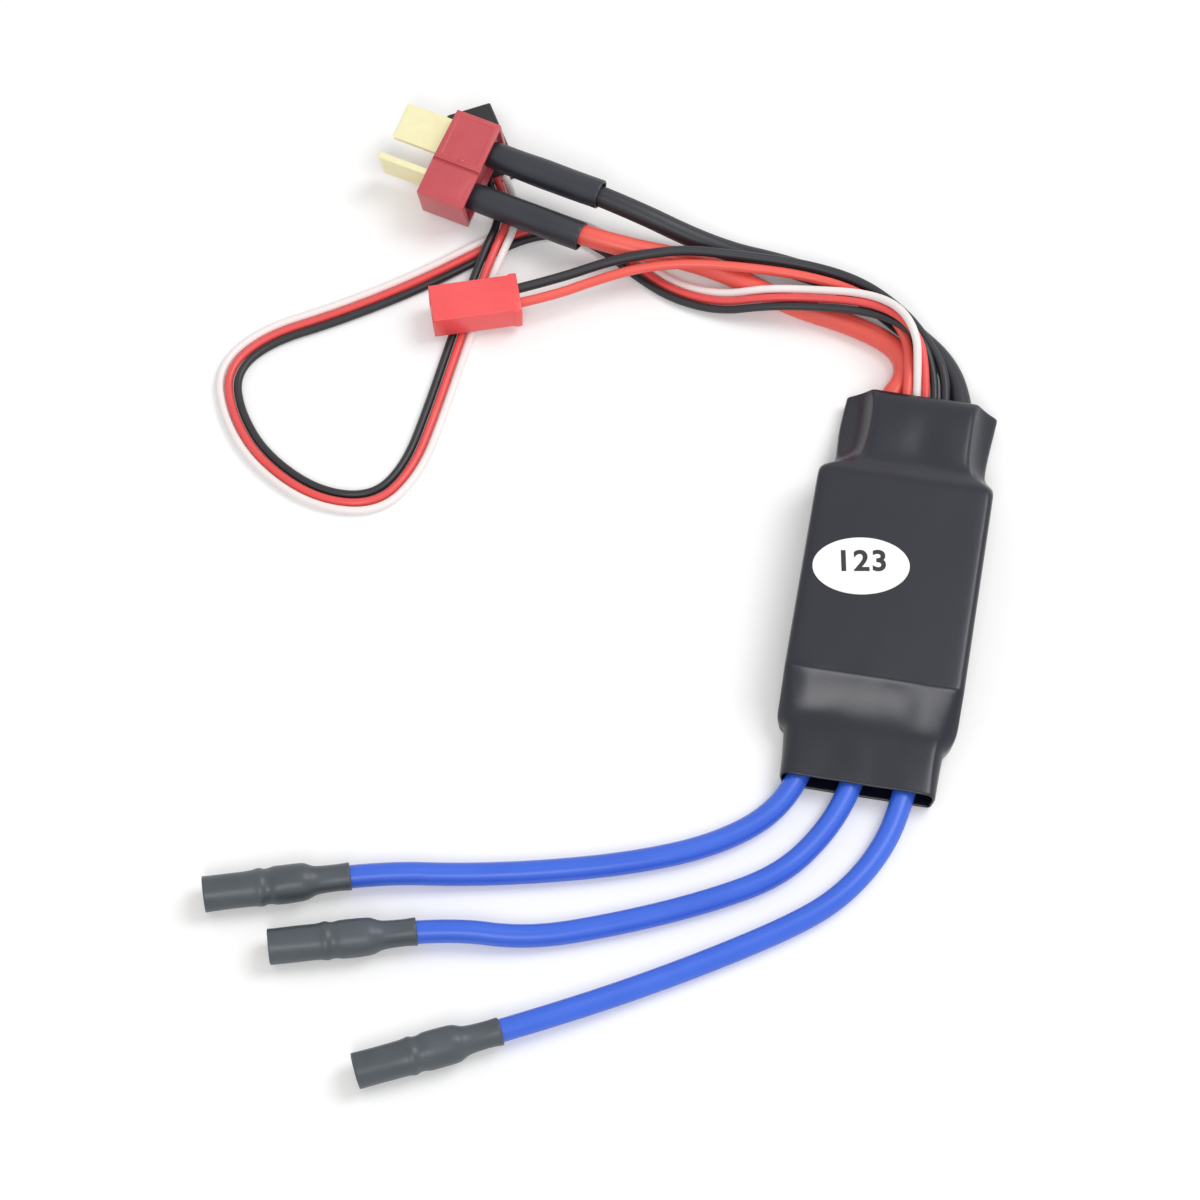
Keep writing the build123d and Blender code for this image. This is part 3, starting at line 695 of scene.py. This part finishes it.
# %% The number
label_low, label_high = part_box("rating_label")
label_turn = radians(10)
only(None)
bpy.ops.object.text_add()
number = bpy.context.object
number.name = "label_number"
number.data.body = "123"
number.data.align_x = "CENTER"
number.data.align_y = "CENTER"
number.data.size = 5.0 * MM
number.data.offset = 0.12 * MM
number.data.extrude = 0.02 * MM
number.data.space_character = 1.1
only(number)
bpy.ops.object.convert(target="MESH")
label_middle = (label_low + label_high) / 2
number.location = (label_middle.x - 0.05 * MM, label_middle.y + 0.7 * MM, label_high.z + 0.01 * MM)
number.rotation_euler = (0, 0, label_turn)
settle(number)
belongs(number, "black_shrink", print_black)

# %% [markdown]
# ## Bullet sleeves
# A sleeve of shrink grips each gold socket. It narrows onto the wire, swells over the socket's
# crimp ring, dips beside it and runs straight to the mouth. A turned shape would be too perfect,
# so its rings wander a little, as real shrink does.

# %% One bullet sleeve
sleeve_sides = 28
sleeve_wall = 0.45 * MM
sleeve_profile = [(-6.0, 2.16), (-5.7, 2.16), (-4.6, 2.02), (-2.6, 2.05), (-0.9, 2.14), (-0.3, 2.34),
                  (0.4, 2.72), (1.1, 2.9), (3.2, 2.93), (4.8, 2.92), (5.4, 2.88), (5.9, 2.72),
                  (6.4, 2.7), (6.8, 2.72), (7.15, 2.9), (7.5, 2.94), (7.9, 2.88), (8.4, 2.72),
                  (10.0, 2.7), (12.5, 2.71), (15.0, 2.72), (15.8, 2.75), (16.0, 2.74)]


def shrunk_sleeve(name, profile, seed, wander, material, origin, along):
    """A sleeve with its own slight unevenness, in its place."""
    radii = {station * MM: radius for station, radius in profile}

    def outline(place, index):
        angle = 2 * pi * index / sleeve_sides
        spot = Vector((cos(angle), sin(angle), place / MM * 0.35 + seed))
        radius = (radii[place] + noise.noise(spot * 1.3) * wander) * MM
        return radius * cos(angle), radius * sin(angle)

    sleeve = ring_tube(name, sleeve_sides, list(radii), outline)
    thicken(sleeve, sleeve_wall, 1)
    put(sleeve, origin, along.orthogonal(), along)
    belongs(sleeve, "black_shrink", material)
    return sleeve


for seed, (phase, route) in enumerate(motor_wire_routes.items()):
    before, end = Vector(route[-2]), Vector(route[-1])
    sleeve = shrunk_sleeve(f"bullet_shrink_{phase}", sleeve_profile, seed * 7.3, 0.10, sleeve_shrink,
                           end, end - before)
    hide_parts(f"bullet_sleeve_{phase}")

# %% [markdown]
# ## The battery plug
# Its nylon shell is a block with a groove across both broad faces, where the two contacts part,
# a shallow panel on the longer part and softened corners. The contacts keep their engineering
# shape. Two plain sleeves cover the solder cups behind it.

# %% Where the plug lies
plug_origin = Vector((-0.0794, 0.0638, 0.0068))
plug_yaw = radians(14.0)
plug_roll = radians(12.0)
plug_front = Vector((-cos(plug_yaw), sin(plug_yaw), 0))
plug_long = Vector((sin(plug_yaw) * cos(plug_roll), cos(plug_yaw) * cos(plug_roll), sin(plug_roll)))
plug_size = (15.8 * MM, 7.8 * MM, 8.2 * MM)
blade_offset = 3.9 * MM
half_long, half_thick, half_deep = (side / 2 for side in plug_size)

# %% Shape the shell
tee_plug = block("tee_plug_shell", plug_size)
groove = (-1.75 * MM, -1.15 * MM)
skin_share = 0.9993
cut("x", groove)
choose(tee_plug, lambda at, facing: abs(facing.y) > 0.9 and groove[0] < at.x < groove[1])
bpy.ops.mesh.inset(thickness=0.02 * MM, depth=-0.45 * MM)
choose(tee_plug, lambda at, facing: abs(facing.y) > 0.9 and at.x > groove[1])
bpy.ops.mesh.inset(thickness=0.9 * MM, depth=0.0)
bpy.ops.mesh.inset(thickness=0.12 * MM, depth=-0.16 * MM)
choose(tee_plug, lambda at, facing: abs(facing.y) > 0.9 and at.x < groove[0])
bpy.ops.mesh.inset(thickness=0.9 * MM, depth=0.0)
bpy.ops.mesh.inset(thickness=0.2 * MM, depth=0.10 * MM)
choose(tee_plug, lambda at, facing: at.z > half_deep * skin_share)
bpy.ops.mesh.inset(thickness=0.8 * MM, depth=0.0)
bpy.ops.mesh.inset(thickness=0.2 * MM, depth=-0.25 * MM)
choose(tee_plug, lambda at, facing: at.z < -half_deep * skin_share)
bpy.ops.mesh.inset(thickness=0.7 * MM, depth=0.0)
bpy.ops.mesh.inset(thickness=0.25 * MM, depth=-0.9 * MM)
choose(tee_plug, lambda at, facing: at.x > half_long * skin_share)
bpy.ops.mesh.inset(thickness=0.9 * MM, depth=0.0)
bpy.ops.mesh.inset(thickness=0.15 * MM, depth=-0.2 * MM)
bpy.ops.object.mode_set(mode="OBJECT")
for vertex in tee_plug.data.vertices:
    far = max(0.0, vertex.co.x - (half_long - 1.2 * MM)) / (1.2 * MM)
    vertex.co.y *= 1 - 0.10 * far
    vertex.co.z *= 1 - 0.05 * far
soften(tee_plug, 0.32 * MM)
put(tee_plug, plug_origin, plug_long, plug_front)
belongs(tee_plug, "red_nylon", red_nylon, "tee_plug_housing")

# %% The small detents on the broad faces
for side in (1, -1):
    only(None)
    bpy.ops.mesh.primitive_uv_sphere_add(segments=20, ring_count=10, radius=0.42 * MM)
    nub = bpy.context.object
    nub.name = "tee_plug_nub_top" if side > 0 else "tee_plug_nub_under"
    edit(nub)
    bpy.ops.mesh.select_all(action="SELECT")
    bpy.ops.transform.resize(value=(1.0, 0.5, 1.3))
    bpy.ops.object.mode_set(mode="OBJECT")
    bpy.ops.object.shade_smooth()
    here = plug_origin + plug_long * (-0.3 * MM) + plug_front * (-0.4 * MM)
    thick_way = plug_front.cross(plug_long).normalized()
    put(nub, here + thick_way * side * (half_thick - 0.04 * MM), plug_long, plug_front)
    belongs(nub, "red_nylon", red_nylon)

# %% The two battery sleeves
battery_profile = [(-0.85, 2.2), (0.0, 2.26), (1.6, 2.3), (3.6, 2.34), (6.0, 2.42), (9.0, 2.44),
                   (12.0, 2.42), (15.0, 2.44), (17.5, 2.42), (18.8, 2.42), (19.0, 2.4)]
for seed, (colour, side) in enumerate((("black", 1), ("red", -1))):
    back_face = plug_origin - plug_front * half_deep + plug_long * side * blade_offset
    sleeve = shrunk_sleeve(f"battery_shrink_{colour}", battery_profile, 30 + seed * 9.1, 0.16,
                           battery_shrink, back_face, -plug_front)
    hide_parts(f"battery_sleeve_{colour}")

# %% [markdown]
# ## The accessory plug
# A small two-way crimp housing: a plain bright block with two short ears at the wire end, where it
# is pulled from its socket, and two deep cells in its front.

# %% Shape the accessory plug
supply_size = (6.8 * MM, 4.8 * MM, 14.3 * MM)
supply_heading = Vector((-0.944, -0.329, 0)).normalized()
supply_ends = [Vector(supply_wire_routes[colour][-1]) for colour in ("red", "black")]
supply_middle = (supply_ends[0] + supply_ends[1]) / 2 - supply_heading * 1.0 * MM
supply_middle.z = 4.05 * MM
supply_across = Vector((-supply_heading.y, supply_heading.x, 0))
half_way = supply_size[2] / 2
ear_end = -half_way + 1.4 * MM
supply_plug = block("supply_plug_shell", supply_size)
cut("z", (ear_end, half_way - 4.6 * MM))
cut("x", (0.0,))
choose(supply_plug, lambda at, facing: abs(facing.x) > 0.9 and at.z < ear_end)
bpy.ops.mesh.inset(thickness=0.12 * MM, depth=0.30 * MM)
choose(supply_plug, lambda at, facing: at.z > half_way * skin_share)
bpy.ops.mesh.inset(thickness=0.5 * MM, depth=0.0, use_individual=True)
bpy.ops.mesh.inset(thickness=0.02 * MM, depth=-3.0 * MM, use_individual=True)
choose(supply_plug, lambda at, facing: at.z < -half_way * skin_share)
bpy.ops.mesh.inset(thickness=0.45 * MM, depth=0.0, use_individual=True)
bpy.ops.mesh.inset(thickness=0.02 * MM, depth=-1.0 * MM, use_individual=True)
bpy.ops.object.mode_set(mode="OBJECT")
soften(supply_plug, 0.16 * MM)
put(supply_plug, supply_middle + supply_heading * half_way, supply_across, supply_heading)
belongs(supply_plug, "red_housing", red_housing, "supply_plug_housing")
